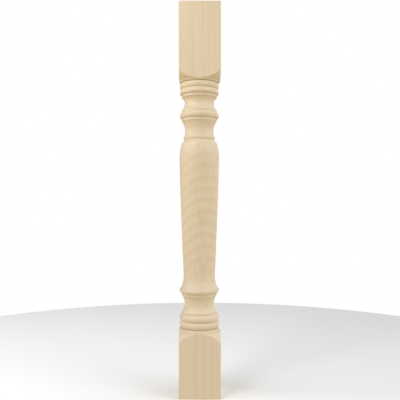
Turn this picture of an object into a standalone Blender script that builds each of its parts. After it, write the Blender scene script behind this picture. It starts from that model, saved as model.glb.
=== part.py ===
"""A turned cabinet column: one square billet of pale wood, left square at its two ends.

The middle is turned on a lathe. The cutter that shapes it is a solid of revolution, and the
column is what the billet and that solid have in common. So the arches, where the round
shoulders run out on the flat faces, follow from the cut as they do on a lathe.
"""

import math
from collections import namedtuple

import bmesh
import bpy
from mathutils import Matrix

INCH = 0.0254
MM = 0.001

# Driving dimensions. The foot stands on z = 0 and the front face looks along -Y.
HEIGHT = 35.5 * INCH
WIDTH = 3.75 * INCH

# The blocks: how far their flat faces and the turning's first quirks are from the ends.
TOP_BLOCK = 173.3 * MM
TOP_QUIRK = 177.3 * MM
FOOT_BLOCK = 146.9 * MM
FOOT_QUIRK = 153.7 * MM

# The billet sat this far off centre between the lathe's points, along X.
CENTRING_ERROR = -1.2 * MM

# The round shoulders, with the same knife at both ends, and the rolled edge that ends them.
SHOULDER_CURVE = 48.0 * MM
SHOULDER_REACH = 72.5 * MM
SHOULDER_EDGE = 47.4 * MM
NOSE_DEPTH = 4.0 * MM

# Radii that the quirks between the beads and the flat fillets share.
QUIRK = 42.3 * MM
FILLET = 41.0 * MM
FILLET_DEPTH = 5.3 * MM

# The beads and coves of the turning: depth, radius at the crown, and how far down that sits.
Swell = namedtuple("Swell", "depth crown crown_at")
FIRST_BEAD = Swell(14.9 * MM, 45.7 * MM, 0.5)
SECOND_BEAD = Swell(13.0 * MM, 45.4 * MM, 0.59)
UPPER_COVE = Swell(30.2 * MM, 34.0 * MM, 0.45)
THIRD_BEAD = Swell(14.4 * MM, 45.5 * MM, 0.5)
NECK_COVE = Swell(34.3 * MM, 33.2 * MM, 0.685)
NECK_RING = Swell(10.2 * MM, 36.8 * MM, 0.5)
FLARE_BEAD = Swell(10.3 * MM, 45.8 * MM, 0.42)
LOWER_COVE = Swell(38.4 * MM, 34.2 * MM, 0.52)
FOURTH_BEAD = Swell(16.0 * MM, 45.9 * MM, 0.5)
FOOT_BEAD = Swell(16.6 * MM, 46.3 * MM, 0.43)

# The neck, and the shaft: a rounded cap, a long taper and a flare at its foot.
NECK_EDGE = 34.3 * MM
RING_EDGE = 35.4 * MM
SHAFT_NECK = 36.0 * MM
NECK_DEPTH = 3.0 * MM
CAP_DEPTH = 40.1 * MM
SHAFT_TOP = 46.3 * MM
SHAFT_FOOT = 36.5 * MM
ENTASIS = 1.28
FLARE = 43.2 * MM
FLARE_DEPTH = 30.7 * MM
FLARE_LIP = 44.2 * MM

# How finely the curves are cut.
LATHE_STEPS = 44
BEAD_STEPS = 3
COVE_STEPS = 4
SHOULDER_STEPS = 6
SHAFT_STEPS = 6
SHARP_ANGLE = math.radians(24)

# The lathe's solid goes this far past the billet's ends, and past its corners by the clearance.
OVERRUN = 10.0 * MM
CLEARANCE = 1.0 * MM
CORNER_REACH = math.hypot(WIDTH / 2, WIDTH / 2 + abs(CENTRING_ERROR)) + CLEARANCE

# Points nearer to each other than this count as one.
SAME_POINT = 0.01 * MM

WOOD_COLOUR = (0.76, 0.64, 0.46, 1.0)
WOOD_ROUGHNESS = 0.55


def crown_arc(edge, crown, depth, steps):
    """(distance from the crown, radius) pairs, from the edge of a bead or cove to its crown.

    The arc is part of a circle that is upright at the crown, so it is at least as deep as the
    edge and the crown are apart in radius.
    """
    sag = abs(edge - crown)
    curve = (depth**2 + sag**2) / (2 * sag)
    sweep = math.asin(depth / curve)
    side = math.copysign(1.0, edge - crown)
    pairs = []
    for index in range(steps, -1, -1):
        angle = sweep * index / steps
        pairs.append((curve * math.sin(angle), crown + side * curve * (1 - math.cos(angle))))
    return pairs


def shoulder_arc():
    """(distance from the block's flat face, radius) pairs, from past the corners to the edge."""
    centre = SHOULDER_REACH - SHOULDER_CURVE
    first = math.acos((CORNER_REACH - centre) / SHOULDER_CURVE)
    last = math.acos((SHOULDER_EDGE - centre) / SHOULDER_CURVE)
    pairs = []
    for index in range(SHOULDER_STEPS + 1):
        angle = first + (last - first) * index / SHOULDER_STEPS
        away = SHOULDER_CURVE * (math.sin(last) - math.sin(angle))
        pairs.append((away, centre + SHOULDER_CURVE * math.cos(angle)))
    return pairs


def nose_arc():
    """The rolled edge of a shoulder as a quarter of an ellipse, from the quirk to the crown."""
    pairs = []
    for index in range(BEAD_STEPS, -1, -1):
        angle = math.pi / 2 * index / BEAD_STEPS
        radius = QUIRK + (SHOULDER_EDGE - QUIRK) * math.cos(angle)
        pairs.append((NOSE_DEPTH * math.sin(angle), radius))
    return pairs


class Outline:
    """Half of the turned outline as (radius, height) points, marked off from the top down."""

    def __init__(self, radius, height):
        self.points = [(radius, height)]

    @property
    def radius(self):
        return self.points[-1][0]

    @property
    def height(self):
        return self.points[-1][1]

    def to(self, radius, height):
        """A straight run to a point, left out where the outline is there already."""
        if math.dist((radius, height), self.points[-1]) > SAME_POINT:
            self.points.append((radius, height))

    def step(self, radius):
        """A square step in or out."""
        self.to(radius, self.height)

    def arc(self, pairs, crown, side):
        """The points of an arc: down to its crown (side 1), or from its crown down (side -1)."""
        for away, radius in pairs if side > 0 else reversed(pairs):
            self.to(radius, crown + side * away)

    def fillet(self, radius):
        """A narrow upright band, with a square step above it where the radius changes."""
        self.step(radius)
        self.to(radius, self.height - FILLET_DEPTH)

    def swell(self, member, edge, steps=BEAD_STEPS):
        """A bead or a cove, from the present radius to its crown and on to the edge radius."""
        above = member.depth * member.crown_at
        crown = self.height - above
        self.arc(crown_arc(self.radius, member.crown, above, steps), crown, 1)
        self.arc(crown_arc(edge, member.crown, member.depth - above, steps), crown, -1)

    def top_shoulder(self):
        """From the corners of the top block in to its rolled edge and the first quirk."""
        self.arc(shoulder_arc(), HEIGHT - TOP_BLOCK, 1)
        self.arc(nose_arc(), HEIGHT - TOP_QUIRK + NOSE_DEPTH, -1)

    def foot_shoulder(self):
        """The same at the foot, the other way up."""
        self.arc(nose_arc(), FOOT_QUIRK - NOSE_DEPTH, 1)
        self.arc(shoulder_arc(), FOOT_BLOCK, -1)

    def shaft(self, foot):
        """A rounded cap, then a taper that starts gently and ends at the foot's height."""
        neck = self.radius
        cap_top = self.height
        for index in range(1, SHAFT_STEPS + 1):
            angle = math.pi / 2 * index / SHAFT_STEPS
            radius = neck + (SHAFT_TOP - neck) * math.sin(angle)
            self.to(radius, cap_top - CAP_DEPTH * (1 - math.cos(angle)))
        top = self.height
        for index in range(1, SHAFT_STEPS + 1):
            share = index / SHAFT_STEPS
            radius = SHAFT_TOP - (SHAFT_TOP - SHAFT_FOOT) * share**ENTASIS
            self.to(radius, top + (foot - top) * share)

    def flare(self):
        """The foot of the shaft opening out again, upright where it starts."""
        self.arc(crown_arc(FLARE, SHAFT_FOOT, FLARE_DEPTH, COVE_STEPS), self.height, -1)


def turned_outline():
    """The whole outline, from above the billet to below it. Both ends lie on the axis."""
    outline = Outline(0.0, HEIGHT + OVERRUN)
    outline.step(CORNER_REACH)
    outline.top_shoulder()
    # The beads and the cove under the top block.
    outline.swell(FIRST_BEAD, QUIRK)
    outline.swell(SECOND_BEAD, QUIRK)
    outline.fillet(FILLET)
    outline.swell(UPPER_COVE, FILLET, COVE_STEPS)
    outline.fillet(FILLET)
    outline.swell(THIRD_BEAD, QUIRK)
    outline.fillet(FILLET)
    # The neck and the shaft, which ends where the members below it need it to.
    outline.swell(NECK_COVE, NECK_EDGE, COVE_STEPS)
    outline.step(RING_EDGE)
    outline.swell(NECK_RING, RING_EDGE)
    outline.to(SHAFT_NECK, outline.height - NECK_DEPTH)
    members = FLARE_BEAD, LOWER_COVE, FOURTH_BEAD, FOOT_BEAD
    depth_below = sum(member.depth for member in members) + 2 * FILLET_DEPTH + FLARE_DEPTH
    outline.shaft(FOOT_QUIRK + depth_below)
    outline.flare()
    # The beads and the cove over the foot block.
    outline.step(FLARE_LIP)
    outline.swell(FLARE_BEAD, QUIRK)
    outline.fillet(FILLET)
    outline.swell(LOWER_COVE, FILLET, COVE_STEPS)
    outline.fillet(FILLET)
    outline.swell(FOURTH_BEAD, QUIRK)
    outline.swell(FOOT_BEAD, QUIRK)
    outline.foot_shoulder()
    outline.to(CORNER_REACH, -OVERRUN)
    outline.step(0.0)
    return outline.points


def collection(name):
    """A collection of this name in the scene."""
    made = bpy.data.collections.new(name)
    bpy.context.scene.collection.children.link(made)
    return made


def mesh_object(name, geometry, where):
    """An object with this bmesh as its mesh."""
    mesh = bpy.data.meshes.new(name)
    geometry.to_mesh(mesh)
    geometry.free()
    made = bpy.data.objects.new(name, mesh)
    where.objects.link(made)
    return made


def lathe_cutter(where):
    """The solid of revolution that the lathe leaves, as a guide that doesn't render."""
    geometry = bmesh.new()
    verts = [geometry.verts.new((radius, 0.0, height)) for radius, height in turned_outline()]
    for upper, lower in zip(verts, verts[1:]):
        geometry.edges.new((upper, lower))
    cutter = mesh_object("lathe_cutter", geometry, where)
    cutter.location.x = CENTRING_ERROR
    cutter.hide_render = True
    cutter.display_type = "WIRE"
    screw = cutter.modifiers.new("turning", "SCREW")
    screw.axis = "Z"
    screw.angle = math.tau
    screw.steps = LATHE_STEPS
    screw.render_steps = LATHE_STEPS
    screw.use_merge_vertices = True
    screw.merge_threshold = SAME_POINT
    return cutter


def square_billet(where):
    """The squared length of wood that goes into the lathe."""
    geometry = bmesh.new()
    size = Matrix.Diagonal((WIDTH, WIDTH, HEIGHT, 1.0))
    bmesh.ops.create_cube(geometry, size=1.0, matrix=Matrix.Translation((0, 0, HEIGHT / 2)) @ size)
    return mesh_object("turned_column", geometry, where)


def turn(billet, cutter):
    """Cuts the billet down to what lies inside the lathe's solid, and shades its round faces."""
    cut = billet.modifiers.new("turned away", "BOOLEAN")
    cut.operation = "INTERSECT"
    cut.solver = "EXACT"
    cut.object = cutter
    graph = bpy.context.evaluated_depsgraph_get()
    turned = bpy.data.meshes.new_from_object(billet.evaluated_get(graph))
    billet.modifiers.clear()
    billet.data = turned
    turned.name = "turned_column"
    turned.shade_smooth()
    turned.set_sharp_from_angle(angle=SHARP_ANGLE)


def pale_wood():
    """Bare sanded hardwood, with no finish on it."""
    wood = bpy.data.materials.new("pale wood")
    wood.use_nodes = True
    shader = wood.node_tree.nodes["Principled BSDF"]
    shader.inputs["Base Color"].default_value = WOOD_COLOUR
    shader.inputs["Roughness"].default_value = WOOD_ROUGHNESS
    shader.inputs["Metallic"].default_value = 0.0
    return wood


def main():
    for old in list(bpy.data.objects):
        bpy.data.objects.remove(old, do_unlink=True)
    cutter = lathe_cutter(collection("cutters"))
    column = square_billet(collection("tapered cabinet column"))
    turn(column, cutter)
    column.data.materials.clear()
    column.data.materials.append(pale_wood())


main()
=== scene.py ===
# %% [markdown]
# # A turned cabinet column
# The object is one length of pale, bare hardwood: a square block at the top, a turned middle with
# beads, coves and a long tapering shaft, and a square block at the foot. It stands at the corner
# of a kitchen cabinet or an island and carries the worktop. This lesson rebuilds it the way it is
# made, as a square billet that goes into a lathe, and then gives it the wood.

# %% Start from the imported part
import math

import bpy
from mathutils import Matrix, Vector


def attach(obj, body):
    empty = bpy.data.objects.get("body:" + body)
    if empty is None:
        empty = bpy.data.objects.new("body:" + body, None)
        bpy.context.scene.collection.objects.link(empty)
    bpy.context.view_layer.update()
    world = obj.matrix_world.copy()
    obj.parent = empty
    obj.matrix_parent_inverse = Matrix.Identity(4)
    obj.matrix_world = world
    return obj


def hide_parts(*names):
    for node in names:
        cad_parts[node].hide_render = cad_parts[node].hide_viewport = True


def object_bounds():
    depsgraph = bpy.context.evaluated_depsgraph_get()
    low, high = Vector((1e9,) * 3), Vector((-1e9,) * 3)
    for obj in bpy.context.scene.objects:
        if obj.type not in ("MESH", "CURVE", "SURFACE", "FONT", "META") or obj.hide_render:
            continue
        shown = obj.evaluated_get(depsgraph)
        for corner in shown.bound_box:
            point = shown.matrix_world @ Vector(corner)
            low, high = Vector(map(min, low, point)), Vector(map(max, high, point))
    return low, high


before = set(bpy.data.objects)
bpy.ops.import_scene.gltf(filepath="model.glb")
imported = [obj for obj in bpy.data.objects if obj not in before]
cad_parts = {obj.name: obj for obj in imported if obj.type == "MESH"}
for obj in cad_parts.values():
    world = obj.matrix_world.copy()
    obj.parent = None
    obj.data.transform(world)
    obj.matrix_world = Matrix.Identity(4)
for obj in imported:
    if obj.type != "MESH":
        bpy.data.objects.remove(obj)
CAD_LOW, CAD_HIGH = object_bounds()
MM = 0.001
HEIGHT = CAD_HIGH.z - CAD_LOW.z
WIDTH = CAD_HIGH.x - CAD_LOW.x
print(f"the part is {WIDTH / MM:.1f} mm square and {HEIGHT / MM:.1f} mm tall")

# %% [markdown]
# ## The outline that the turner marks off
# A turning is known by its outline: the radius at each height. A turner reads it off a marking
# stick, member by member, and each member is a plain arc, a straight run or a square step. The
# same is done here. The points could be traced from a picture, but arcs with a crown and a depth
# stay smooth at any size, and each one can be changed by its own two or three numbers.

# %% A marking stick that collects the outline
ARC_STEPS = 16


def crown_arc(edge, crown, depth, steps=ARC_STEPS):
    """(distance from the crown, radius) pairs of an arc that is upright at its crown."""
    sag = abs(edge - crown)
    curve = (depth**2 + sag**2) / (2 * sag)
    sweep = math.asin(depth / curve)
    side = math.copysign(1.0, edge - crown)
    angles = [sweep * index / steps for index in range(steps, -1, -1)]
    return [(curve * math.sin(a), crown + side * curve * (1 - math.cos(a))) for a in angles]


class MarkingStick:
    """The outline as (radius, height) points, marked off from the top down."""

    def __init__(self, radius, height):
        self.points = [(radius, height)]

    def here(self):
        return self.points[-1]

    def to(self, radius, height):
        if math.dist((radius, height), self.here()) > 0.01 * MM:
            self.points.append((radius, height))

    def step(self, radius):
        self.to(radius, self.here()[1])

    def arc(self, pairs, crown, side):
        """Down to the arc's crown (side 1), or from its crown down (side -1)."""
        for away, radius in pairs if side > 0 else reversed(pairs):
            self.to(radius, crown + side * away)

    def fillet(self, radius, depth):
        """A narrow upright band, with a square step above it."""
        self.step(radius)
        self.to(radius, self.here()[1] - depth)

    def swell(self, depth, crown, crown_at, edge):
        """A bead or a cove, from the radius it has now to its crown and on to the edge."""
        radius, height = self.here()
        above = depth * crown_at
        self.arc(crown_arc(radius, crown, above), height - above, 1)
        self.arc(crown_arc(edge, crown, depth - above), height - above, -1)


# %% [markdown]
# ## Shoulders
# Where the square block ends, the knife rounds its four corners in towards the turned middle.
# The same knife shape is used at both ends. The cut ends in a rolled edge, and a sharp quirk parts
# it from the first bead. Only the shoulder's curve is given here. The arches on the flat faces
# aren't drawn at all: they appear where the curve meets the flats.

# %% The shoulder's curve and its rolled edge
CENTRING_ERROR = -1.2 * MM
CORNER_REACH = math.hypot(WIDTH / 2, WIDTH / 2 + abs(CENTRING_ERROR)) + 1.0 * MM
QUIRK = 42.3 * MM
KNIFE_CURVE = 48.0 * MM
KNIFE_CENTRE = 24.5 * MM
SHOULDER_EDGE = 47.4 * MM
NOSE_DEPTH = 4.0 * MM
SHOULDER_STEPS = 28


def shoulder_arc():
    """(distance from the block's flat face, radius) pairs, from past the corners to the edge."""
    first = math.acos((CORNER_REACH - KNIFE_CENTRE) / KNIFE_CURVE)
    last = math.acos((SHOULDER_EDGE - KNIFE_CENTRE) / KNIFE_CURVE)
    pairs = []
    for index in range(SHOULDER_STEPS + 1):
        angle = first + (last - first) * index / SHOULDER_STEPS
        away = KNIFE_CURVE * (math.sin(last) - math.sin(angle))
        pairs.append((away, KNIFE_CENTRE + KNIFE_CURVE * math.cos(angle)))
    return pairs


nose_turns = [math.pi / 2 * index / ARC_STEPS for index in range(ARC_STEPS, -1, -1)]
nose_reach = SHOULDER_EDGE - QUIRK
nose_arc = [(NOSE_DEPTH * math.sin(a), QUIRK + nose_reach * math.cos(a)) for a in nose_turns]
print(f"the shoulder rises {shoulder_arc()[0][0] / MM:.1f} mm to past the corners")

# %% [markdown]
# ## Beads, coves and the shaft
# Under the top block come two beads, a cove, a third bead, a long cove that makes the neck, and a
# small ring. The shaft starts as a rounded cap, swells to its widest, and tapers with a slight
# belly to a flare. Over the foot block the members come back: a bead, a cove and two beads. Flat
# upright fillets part the coves from the beads, as on most turned work, so that each throws its
# own shadow.

# %% Mark off the whole outline
TOP_FLAT, TOP_QUIRK = HEIGHT - 173.3 * MM, HEIGHT - 177.3 * MM
FOOT_FLAT, FOOT_QUIRK = 146.9 * MM, 153.7 * MM
FILLET, FILLET_DEPTH = 41.0 * MM, 5.3 * MM
NECK_EDGE, RING_EDGE = 34.3 * MM, 35.4 * MM
OVERRUN = 10.0 * MM

stick = MarkingStick(CORNER_REACH, HEIGHT + OVERRUN)
stick.arc(shoulder_arc(), TOP_FLAT, 1)
stick.arc(nose_arc, TOP_QUIRK + NOSE_DEPTH, -1)
stick.swell(14.9 * MM, 45.7 * MM, 0.5, QUIRK)
stick.swell(13.0 * MM, 45.4 * MM, 0.59, QUIRK)
stick.fillet(FILLET, FILLET_DEPTH)
stick.swell(30.2 * MM, 34.0 * MM, 0.45, FILLET)
stick.fillet(FILLET, FILLET_DEPTH)
stick.swell(14.4 * MM, 45.5 * MM, 0.5, QUIRK)
stick.fillet(FILLET, FILLET_DEPTH)
stick.swell(34.3 * MM, 33.2 * MM, 0.685, NECK_EDGE)
stick.step(RING_EDGE)
stick.swell(10.2 * MM, 36.8 * MM, 0.5, RING_EDGE)

# %% The shaft: a cap, a taper with a slight belly, and a flare
SHAFT_NECK, SHAFT_TOP, SHAFT_FOOT = 36.0 * MM, 46.3 * MM, 36.5 * MM
NECK_DEPTH, CAP_DEPTH = 3.0 * MM, 40.1 * MM
TAPER_END, FLARE, FLARE_END = 276.3 * MM, 43.2 * MM, 245.6 * MM
BELLY = 1.28
SHAFT_STEPS = 30

stick.to(SHAFT_NECK, stick.here()[1] - NECK_DEPTH)
cap_top = stick.here()[1]
for index in range(1, SHAFT_STEPS + 1):
    turn = math.pi / 2 * index / SHAFT_STEPS
    bulge = (SHAFT_TOP - SHAFT_NECK) * math.sin(turn)
    stick.to(SHAFT_NECK + bulge, cap_top - CAP_DEPTH * (1 - math.cos(turn)))
widest = stick.here()[1]
for index in range(1, SHAFT_STEPS + 1):
    share = index / SHAFT_STEPS
    radius = SHAFT_TOP - (SHAFT_TOP - SHAFT_FOOT) * share**BELLY
    stick.to(radius, widest + (TAPER_END - widest) * share)
stick.arc(crown_arc(FLARE, SHAFT_FOOT, TAPER_END - FLARE_END), TAPER_END, -1)
print(f"the shaft is widest at {widest / MM:.0f} mm, and its taper ends at {TAPER_END / MM:.0f} mm")

# %% The members over the foot block
stick.step(44.2 * MM)
stick.swell(10.3 * MM, 45.8 * MM, 0.42, QUIRK)
stick.fillet(FILLET, FILLET_DEPTH)
stick.swell(38.4 * MM, 34.2 * MM, 0.52, FILLET)
stick.fillet(FILLET, FILLET_DEPTH)
stick.swell(16.0 * MM, 45.9 * MM, 0.5, QUIRK)
stick.swell(stick.here()[1] - FOOT_QUIRK, 46.3 * MM, 0.43, QUIRK)
stick.arc(nose_arc, FOOT_QUIRK - NOSE_DEPTH, 1)
stick.arc(shoulder_arc(), FOOT_FLAT, -1)
stick.to(CORNER_REACH, -OVERRUN)
print(f"{len(stick.points)} points in the outline, {stick.here()[1] / MM:.0f} mm at its end")

# %% [markdown]
# ## Billet and lathe as one rule
# The post could be modelled as a stack of lathed and boxed pieces, but the real one is a single
# billet, and the arches on its faces come from one cut. So a Geometry Nodes tree makes two solids
# and keeps what they have in common. The first is the envelope that the lathe leaves: the outline
# is a curve up the axis, each of its points has a radius, and a circle is carried along it. The
# second is the sawn billet: a square with eased corners, carried up the same axis, a hair smaller
# at its two ends so that the sawn arrises are eased as sandpaper leaves them.

# %% The outline as a line up the axis, with a radius on each point
outline_mesh = bpy.data.meshes.new("turned outline")
outline_mesh.from_pydata(
    [(0.0, 0.0, height) for radius, height in stick.points],
    [(index, index + 1) for index in range(len(stick.points) - 1)],
    [],
)
radii = outline_mesh.attributes.new("turned radius", "FLOAT", "POINT")
radii.data.foreach_set("value", [radius for radius, height in stick.points])
column = bpy.data.objects.new("column", outline_mesh)
bpy.context.scene.collection.objects.link(column)


# %% Small helpers for building node trees
def add_node(tree, kind, values=None, **settings):
    """A node of this kind, with its settings, and its unlinked inputs set by name."""
    made = tree.nodes.new(kind)
    for name, value in settings.items():
        setattr(made, name, value)
    for name, value in (values or {}).items():
        made.inputs[name].default_value = value
    return made


def join(tree, *pairs):
    """Links (output, input) pairs."""
    for output, target in pairs:
        tree.links.new(output, target)


def feed(tree, value, socket):
    """Links a socket to this input, or sets the input to a plain value."""
    if isinstance(value, bpy.types.NodeSocket):
        tree.links.new(value, socket)
    else:
        socket.default_value = value


def add_math(tree, operation, first, second=0.0, third=0.0):
    """A Math node on sockets or numbers, and its output."""
    made = tree.nodes.new("ShaderNodeMath")
    made.operation = operation
    for socket, value in zip(made.inputs, (first, second, third)):
        feed(tree, value, socket)
    return made.outputs[0]


def mix_colours(tree, factor, first, second, blend="MIX"):
    """A Mix node on two colours, each a socket or a plain colour, and its output."""
    made = tree.nodes.new("ShaderNodeMix")
    made.data_type = "RGBA"
    made.blend_type = blend
    factor_input, first_input, second_input = made.inputs[0], made.inputs[6], made.inputs[7]
    feed(tree, factor, factor_input)
    feed(tree, first, first_input)
    feed(tree, second, second_input)
    return made.outputs[2]


# %% A tree with named inputs for the sizes
TREE_SIZES = {"Width": WIDTH, "Height": HEIGHT, "Ease": 0.6 * MM, "Offset": CENTRING_ERROR}
turning = bpy.data.node_groups.new("turned from a billet", "GeometryNodeTree")
turning.interface.new_socket("Outline", in_out="INPUT", socket_type="NodeSocketGeometry")
turning.interface.new_socket("Column", in_out="OUTPUT", socket_type="NodeSocketGeometry")
socket_ids = {}
for name in TREE_SIZES:
    made = turning.interface.new_socket(name, in_out="INPUT", socket_type="NodeSocketFloat")
    socket_ids[name] = made.identifier
facets = turning.interface.new_socket("Facets", in_out="INPUT", socket_type="NodeSocketInt")
wood_input = turning.interface.new_socket("Wood", in_out="INPUT", socket_type="NodeSocketMaterial")
given = turning.nodes.new("NodeGroupInput").outputs
result = turning.nodes.new("NodeGroupOutput").inputs["Column"]

# %% The lathe's envelope: a circle carried along the outline
radius_of = add_node(turning, "GeometryNodeInputNamedAttribute", {"Name": "turned radius"})
to_curve = turning.nodes.new("GeometryNodeMeshToCurve")
circle = add_node(turning, "GeometryNodeCurvePrimitiveCircle", {"Radius": 1.0})
envelope = add_node(turning, "GeometryNodeCurveToMesh", {"Fill Caps": True})
off_centre = turning.nodes.new("GeometryNodeTransform")
aside = turning.nodes.new("ShaderNodeCombineXYZ")
join(
    turning,
    (given["Outline"], to_curve.inputs["Mesh"]),
    (to_curve.outputs["Curve"], envelope.inputs["Curve"]),
    (radius_of.outputs["Attribute"], envelope.inputs["Scale"]),
    (given["Facets"], circle.inputs["Resolution"]),
    (circle.outputs["Curve"], envelope.inputs["Profile Curve"]),
    (envelope.outputs["Mesh"], off_centre.inputs["Geometry"]),
    (given["Offset"], aside.inputs["X"]),
    (aside.outputs["Vector"], off_centre.inputs["Translation"]),
)

# %% The billet: an eased square carried up the axis, a hair smaller at its ends
square = turning.nodes.new("GeometryNodeCurvePrimitiveQuadrilateral")
eased = add_node(turning, "GeometryNodeFilletCurve", {"Count": 3}, mode="POLY")
line = turning.nodes.new("GeometryNodeCurvePrimitiveLine")
top_point = turning.nodes.new("ShaderNodeCombineXYZ")
four_points = add_node(turning, "GeometryNodeSubdivideCurve", {"Cuts": 2})
place = turning.nodes.new("GeometryNodeSetPosition")
new_place = turning.nodes.new("ShaderNodeCombineXYZ")
billet = add_node(turning, "GeometryNodeCurveToMesh", {"Fill Caps": True})
number = turning.nodes.new("GeometryNodeInputIndex").outputs["Index"]
in_upper_half = add_math(turning, "GREATER_THAN", number, 1.5)
from_middle = add_math(turning, "ABSOLUTE", add_math(turning, "SUBTRACT", number, 1.5))
at_an_end = add_math(turning, "GREATER_THAN", from_middle, 1.0)
rise = add_math(turning, "MULTIPLY", in_upper_half, given["Height"])
inward = add_math(turning, "SUBTRACT", 1.0, at_an_end)
towards = add_math(turning, "SUBTRACT", 1.0, add_math(turning, "MULTIPLY", in_upper_half, 2.0))
signed = add_math(turning, "MULTIPLY", inward, towards)
shift = add_math(turning, "MULTIPLY", signed, given["Ease"])
both_sides = add_math(turning, "MULTIPLY", given["Ease"], 2.0)
shrink = add_math(turning, "DIVIDE", both_sides, given["Width"])
end_scale = add_math(turning, "SUBTRACT", 1.0, add_math(turning, "MULTIPLY", at_an_end, shrink))
join(
    turning,
    (given["Width"], square.inputs["Width"]),
    (given["Width"], square.inputs["Height"]),
    (square.outputs["Curve"], eased.inputs["Curve"]),
    (given["Ease"], eased.inputs["Radius"]),
    (given["Height"], top_point.inputs["Z"]),
    (top_point.outputs["Vector"], line.inputs["End"]),
    (line.outputs["Curve"], four_points.inputs["Curve"]),
    (four_points.outputs["Curve"], place.inputs["Geometry"]),
    (add_math(turning, "ADD", rise, shift), new_place.inputs["Z"]),
    (new_place.outputs["Vector"], place.inputs["Position"]),
    (place.outputs["Geometry"], billet.inputs["Curve"]),
    (end_scale, billet.inputs["Scale"]),
    (eased.outputs["Curve"], billet.inputs["Profile Curve"]),
)

# %% What both solids share, with its sharp edges marked
SHARP = math.radians(24)
shared = add_node(turning, "GeometryNodeMeshBoolean", operation="INTERSECT", solver="EXACT")
smooth = turning.nodes.new("GeometryNodeSetShadeSmooth")
creases = add_node(turning, "GeometryNodeSetShadeSmooth", {"Shade Smooth": False}, domain="EDGE")
edge_angle = turning.nodes.new("GeometryNodeInputMeshEdgeAngle").outputs["Unsigned Angle"]
realize = turning.nodes.new("GeometryNodeRealizeInstances")
finish_wood = turning.nodes.new("GeometryNodeSetMaterial")
join(
    turning,
    (billet.outputs["Mesh"], shared.inputs["Mesh 2"]),
    (off_centre.outputs["Geometry"], shared.inputs["Mesh 2"]),
    (shared.outputs["Mesh"], smooth.inputs["Geometry"]),
    (smooth.outputs["Geometry"], creases.inputs["Geometry"]),
    (add_math(turning, "GREATER_THAN", edge_angle, SHARP), creases.inputs["Selection"]),
    (creases.outputs["Geometry"], realize.inputs["Geometry"]),
    (realize.outputs["Geometry"], finish_wood.inputs["Geometry"]),
    (given["Wood"], finish_wood.inputs["Material"]),
    (finish_wood.outputs["Geometry"], result),
)
print(f"the tree has {len(turning.nodes)} nodes and sizes {', '.join(TREE_SIZES)}")

# %% Run the tree once and keep its result as a plain mesh
wood = bpy.data.materials.new("pale bare hardwood")
wood.use_nodes = True
FACETS = 240
modifier = column.modifiers.new("turning", "NODES")
modifier.node_group = turning
for name, size in TREE_SIZES.items():
    modifier[socket_ids[name]] = size
modifier[facets.identifier] = FACETS
modifier[wood_input.identifier] = wood
graph = bpy.context.evaluated_depsgraph_get()
turned_mesh = bpy.data.meshes.new_from_object(column.evaluated_get(graph))
column.modifiers.clear()
column.data = turned_mesh
turned_mesh.name = "column"
turned_mesh.calc_loop_triangles()
print(f"{len(turned_mesh.polygons)} faces, {len(turned_mesh.loop_triangles)} triangles")

# %% The piece takes the CAD solid's place
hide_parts("turned_column")
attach(column, "root")

# %% [markdown]
# ## The wood
# Bare maple or birch is pale and nearly even. Close up it shows growth rings, which run as faint
# upright lines on the square faces, pale bands that cross the shaft where the knife cuts through
# leaning fibres, fine streaks along the grain, and darker end grain. A picture of wood wrapped
# round the post would slide over the beads. So each of these is a pattern in space, in the
# column's own coordinates, and the turned surface cuts through it as the knife cuts the wood.


# %% A small kit for shader groups
def shader_group(name, inputs, outputs):
    """A shader node group with named sockets: the group, its inputs and its outputs."""
    group = bpy.data.node_groups.new(name, "ShaderNodeTree")
    for label, kind in inputs.items():
        group.interface.new_socket(label, in_out="INPUT", socket_type="NodeSocket" + kind)
    for label, kind in outputs.items():
        group.interface.new_socket(label, in_out="OUTPUT", socket_type="NodeSocket" + kind)
    return group, group.nodes.new("NodeGroupInput").outputs, group.nodes.new("NodeGroupOutput").inputs


def stretched_noise(tree, position, stretch, detail=3.0):
    """Noise between 0 and 1 whose cells are as large as 1 / stretch on each axis."""
    mapping = add_node(tree, "ShaderNodeMapping", {"Scale": stretch})
    noise = add_node(tree, "ShaderNodeTexNoise", {"Scale": 1.0, "Detail": detail})
    join(tree, (position, mapping.inputs["Vector"]), (mapping.outputs["Vector"], noise.inputs["Vector"]))
    return noise.outputs["Fac"]


# %% Growth rings round a pith that lies outside the billet
rings, ring_in, ring_out = shader_group(
    "growth rings",
    {"Position": "Vector", "Pith X": "Float", "Pith Y": "Float", "Lean": "Float",
     "Spacing": "Float", "Waviness": "Float"},
    {"Late Wood": "Float"},
)
axes = rings.nodes.new("ShaderNodeSeparateXYZ")
join(rings, (ring_in["Position"], axes.inputs["Vector"]))
leaning = add_math(rings, "MULTIPLY", axes.outputs["Z"], ring_in["Lean"])
leaned_x = add_math(rings, "ADD", axes.outputs["X"], leaning)
from_pith_x = add_math(rings, "SUBTRACT", leaned_x, ring_in["Pith X"])
from_pith_y = add_math(rings, "SUBTRACT", axes.outputs["Y"], ring_in["Pith Y"])
squares = [add_math(rings, "MULTIPLY", side, side) for side in (from_pith_x, from_pith_y)]
distance = add_math(rings, "SQRT", add_math(rings, "ADD", *squares))
wave = add_math(rings, "SUBTRACT", stretched_noise(rings, ring_in["Position"], (14, 14, 2.2)), 0.5)
waved = add_math(rings, "ADD", distance, add_math(rings, "MULTIPLY", wave, ring_in["Waviness"]))
year = add_math(rings, "FRACT", add_math(rings, "DIVIDE", waved, ring_in["Spacing"]))
join(rings, (add_math(rings, "POWER", year, 4.0), ring_out["Late Wood"]))

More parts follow.
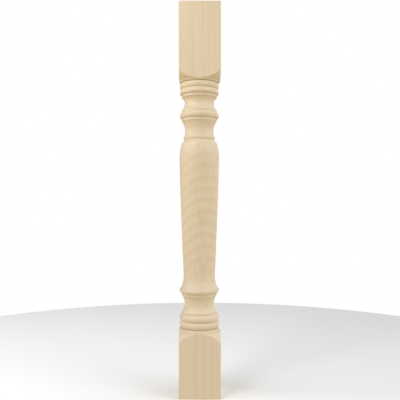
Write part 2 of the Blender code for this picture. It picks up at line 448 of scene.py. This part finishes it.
# %% Pale and dark bands where the knife crosses leaning fibres
bands, band_in, band_out = shader_group(
    "cross bands",
    {"Position": "Vector", "Spacing": "Float", "Lean X": "Float", "Lean Y": "Float",
     "Waviness": "Float"},
    {"Band": "Float"},
)
axes = bands.nodes.new("ShaderNodeSeparateXYZ")
join(bands, (band_in["Position"], axes.inputs["Vector"]))
tilted_x = add_math(bands, "MULTIPLY", axes.outputs["X"], band_in["Lean X"])
tilted_y = add_math(bands, "MULTIPLY", axes.outputs["Y"], band_in["Lean Y"])
along = add_math(bands, "ADD", axes.outputs["Z"], add_math(bands, "ADD", tilted_x, tilted_y))
wave = add_math(bands, "SUBTRACT", stretched_noise(bands, band_in["Position"], (18, 18, 7)), 0.5)
along = add_math(bands, "ADD", along, add_math(bands, "MULTIPLY", wave, band_in["Waviness"]))
turns = add_math(bands, "MULTIPLY", add_math(bands, "DIVIDE", along, band_in["Spacing"]), math.tau)
height_of_wave = add_math(bands, "MULTIPLY_ADD", add_math(bands, "SINE", turns), 0.5, 0.5)
join(bands, (add_math(bands, "POWER", height_of_wave, 2.0), band_out["Band"]))

# %% Fibres and pores along the grain
fibres, fibre_in, fibre_out = shader_group(
    "fibres", {"Position": "Vector"}, {"Streaks": "Float", "Pores": "Float"}
)
streaks = stretched_noise(fibres, fibre_in["Position"], (620, 620, 9), 4.0)
fine = stretched_noise(fibres, fibre_in["Position"], (1900, 1900, 70), 2.0)
pore_mask = add_node(fibres, "ShaderNodeMapRange", {"From Min": 0.62, "From Max": 0.72})
join(
    fibres,
    (streaks, fibre_out["Streaks"]),
    (fine, pore_mask.inputs["Value"]),
    (pore_mask.outputs["Result"], fibre_out["Pores"]),
)

# %% [markdown]
# ## The wood's shader
# The patterns only shade one pale colour by a few parts in a hundred. Stronger contrast would turn
# it into pine or oak. Each pattern multiplies the colour, so that they add up as they do in wood.
# Sanded wood is half rough, and its fibres leave a very slight relief.

# %% Place the groups in the material
tree = wood.node_tree
shader = tree.nodes["Principled BSDF"]
position = tree.nodes.new("ShaderNodeTexCoord")


def placed(group, values=None):
    """A group in the material, on the column's own coordinates."""
    made = tree.nodes.new("ShaderNodeGroup")
    made.node_tree = group
    for name, value in (values or {}).items():
        made.inputs[name].default_value = value
    join(tree, (position.outputs["Object"], made.inputs["Position"]))
    return made.outputs


ring_values = {"Pith X": -0.035, "Pith Y": 0.16, "Lean": 0.012, "Spacing": 4.2 * MM, "Waviness": 9 * MM}
band_values = {"Spacing": 26 * MM, "Lean X": -0.33, "Lean Y": 0.6, "Waviness": 26 * MM}
late_wood = placed(rings, ring_values)["Late Wood"]
cross_band = placed(bands, band_values)["Band"]
fibre = placed(fibres)
patches = stretched_noise(tree, position.outputs["Object"], (16, 16, 3.5), 2.0)

# %% The bands show on the shaft, and end grain shows on the two ends
places = tree.nodes.new("ShaderNodeSeparateXYZ")
facing = tree.nodes.new("ShaderNodeSeparateXYZ")
above_flare = add_node(tree, "ShaderNodeMapRange", {"From Min": 0.25, "From Max": 0.32})
below_cap = add_node(tree, "ShaderNodeMapRange", {"From Min": 0.60, "From Max": 0.54})
end_grain = add_node(tree, "ShaderNodeMapRange", {"From Min": 0.90, "From Max": 0.99})
join(
    tree,
    (position.outputs["Object"], places.inputs["Vector"]),
    (position.outputs["Normal"], facing.inputs["Vector"]),
    (places.outputs["Z"], above_flare.inputs["Value"]),
    (places.outputs["Z"], below_cap.inputs["Value"]),
    (add_math(tree, "ABSOLUTE", facing.outputs["Z"]), end_grain.inputs["Value"]),
)
on_shaft = add_math(tree, "MULTIPLY", above_flare.outputs["Result"], below_cap.outputs["Result"])
band_on_shaft = add_math(tree, "MULTIPLY", cross_band, on_shaft)

# %% Colour: one pale wood, darkened a little by each pattern
PALE_WOOD = (0.755, 0.648, 0.490, 1)
shades = (
    ((0.90, 0.865, 0.80, 1), late_wood, 0.55),
    ((0.94, 0.925, 0.89, 1), band_on_shaft, 0.85),
    ((0.93, 0.905, 0.86, 1), fibre["Streaks"], 0.9),
    ((0.88, 0.84, 0.76, 1), fibre["Pores"], 0.35),
    ((0.965, 0.95, 0.92, 1), patches, 1.0),
    ((0.80, 0.73, 0.61, 1), end_grain.outputs["Result"], 0.8),
)
colour = PALE_WOOD
for shade, mask, amount in shades:
    colour = mix_colours(tree, add_math(tree, "MULTIPLY", mask, amount), colour, shade, "MULTIPLY")
join(tree, (colour, shader.inputs["Base Color"]))
print(f"{len(shades)} patterns shade the wood")

# %% Roughness and a slight relief from the fibres
roughness = add_node(tree, "ShaderNodeMapRange", {"To Min": 0.42, "To Max": 0.54})
bump = add_node(tree, "ShaderNodeBump", {"Strength": 0.12, "Distance": 0.1 * MM})
relief = add_math(tree, "SUBTRACT", fibre["Streaks"], add_math(tree, "MULTIPLY", fibre["Pores"], 0.5))
join(
    tree,
    (fibre["Streaks"], roughness.inputs["Value"]),
    (roughness.outputs["Result"], shader.inputs["Roughness"]),
    (relief, bump.inputs["Height"]),
    (bump.outputs["Normal"], shader.inputs["Normal"]),
)

# %% [markdown]
# ## Floor, light and camera
# The post stands on a plain pale floor. The floor looks white, but the light that it throws back
# is warm, so that the undersides of the beads turn golden as pale wood does. A key light
# stands high on the left, two soft boxes fill from the sides, and the room adds a little from
# every direction. The camera sees the room as plain white.

# %% The floor
bpy.ops.mesh.primitive_circle_add(vertices=96, radius=1.2, fill_type="NGON")
floor = bpy.context.object
floor.name = "floor"
floor_paint = bpy.data.materials.new("pale floor")
floor_paint.use_nodes = True
floor_tree = floor_paint.node_tree
seen = floor_tree.nodes.new("ShaderNodeLightPath")
FLOOR_BOUNCE, FLOOR_SEEN = (0.80, 0.71, 0.56, 1), (0.95, 0.95, 0.95, 1)
floor_colour = mix_colours(floor_tree, seen.outputs["Is Camera Ray"], FLOOR_BOUNCE, FLOOR_SEEN)
floor_shader = floor_tree.nodes["Principled BSDF"]
floor_shader.inputs["Roughness"].default_value = 0.9
join(floor_tree, (floor_colour, floor_shader.inputs["Base Color"]))
floor.data.materials.append(floor_paint)

# %% The room: white to the camera, softer and warmer from below to the wood
world = bpy.data.worlds.new("studio")
bpy.context.scene.world = world
world.use_nodes = True
room = world.node_tree
ROOM_ABOVE = (0.29, 0.29, 0.29, 1)
ROOM_BELOW = (0.55, 0.45, 0.25, 1)
RIGHT_SIDE = 1.2
direction = room.nodes.new("ShaderNodeTexCoord")
parts = room.nodes.new("ShaderNodeSeparateXYZ")
join(room, (direction.outputs["Generated"], parts.inputs["Vector"]))
above = add_math(room, "GREATER_THAN", parts.outputs["Z"], 0.0)
rightward = add_math(room, "MULTIPLY", add_math(room, "MAXIMUM", parts.outputs["X"]), RIGHT_SIDE)
from_right = add_math(room, "MULTIPLY", rightward, above)
ambient = mix_colours(room, above, ROOM_BELOW, ROOM_ABOVE)
with_side = mix_colours(room, 1.0, ambient, from_right, "ADD")
camera_ray = room.nodes.new("ShaderNodeLightPath").outputs["Is Camera Ray"]
to_camera = mix_colours(room, camera_ray, with_side, (1, 1, 1, 1))
background = room.nodes["Background"]
background.inputs["Strength"].default_value = 1.0
join(room, (to_camera, background.inputs["Color"]))
bpy.context.scene.view_settings.view_transform = "Standard"


# %% Three soft boxes
def soft_box(name, place, aim, size, watts):
    """A square area light that looks from its place to its aim."""
    data = bpy.data.lights.new(name, "AREA")
    data.size = size
    data.energy = watts
    made = bpy.data.objects.new(name, data)
    made.location = place
    made.rotation_euler = (Vector(aim) - Vector(place)).to_track_quat("-Z", "Y").to_euler()
    bpy.context.scene.collection.objects.link(made)


soft_box("key", (-1.1, -1.3, 1.9), (0, 0, 0.6), 0.9, 18.4)
soft_box("left fill", (-1.5, -0.3, 1.2), (0, 0, 0.5), 1.0, 11.2)
soft_box("right fill", (1.4, -0.9, 1.4), (0, 0, 0.5), 1.0, 6.9)

# %% The camera, level with the lower part of the shaft
CAMERA_DISTANCE, CAMERA_HEIGHT, CAMERA_SIDE = 1.25, 0.430, 0.5 * MM
camera_data = bpy.data.cameras.new("camera")
camera_data.sensor_width = 36.0
camera_data.lens = 47.91
camera_data.shift_y = 0.0232
camera = bpy.data.objects.new("camera", camera_data)
camera.location = (CAMERA_SIDE, -CAMERA_DISTANCE, CAMERA_HEIGHT)
camera.rotation_euler = (math.radians(90), 0, 0)
bpy.context.scene.collection.objects.link(camera)
bpy.context.scene.camera = camera
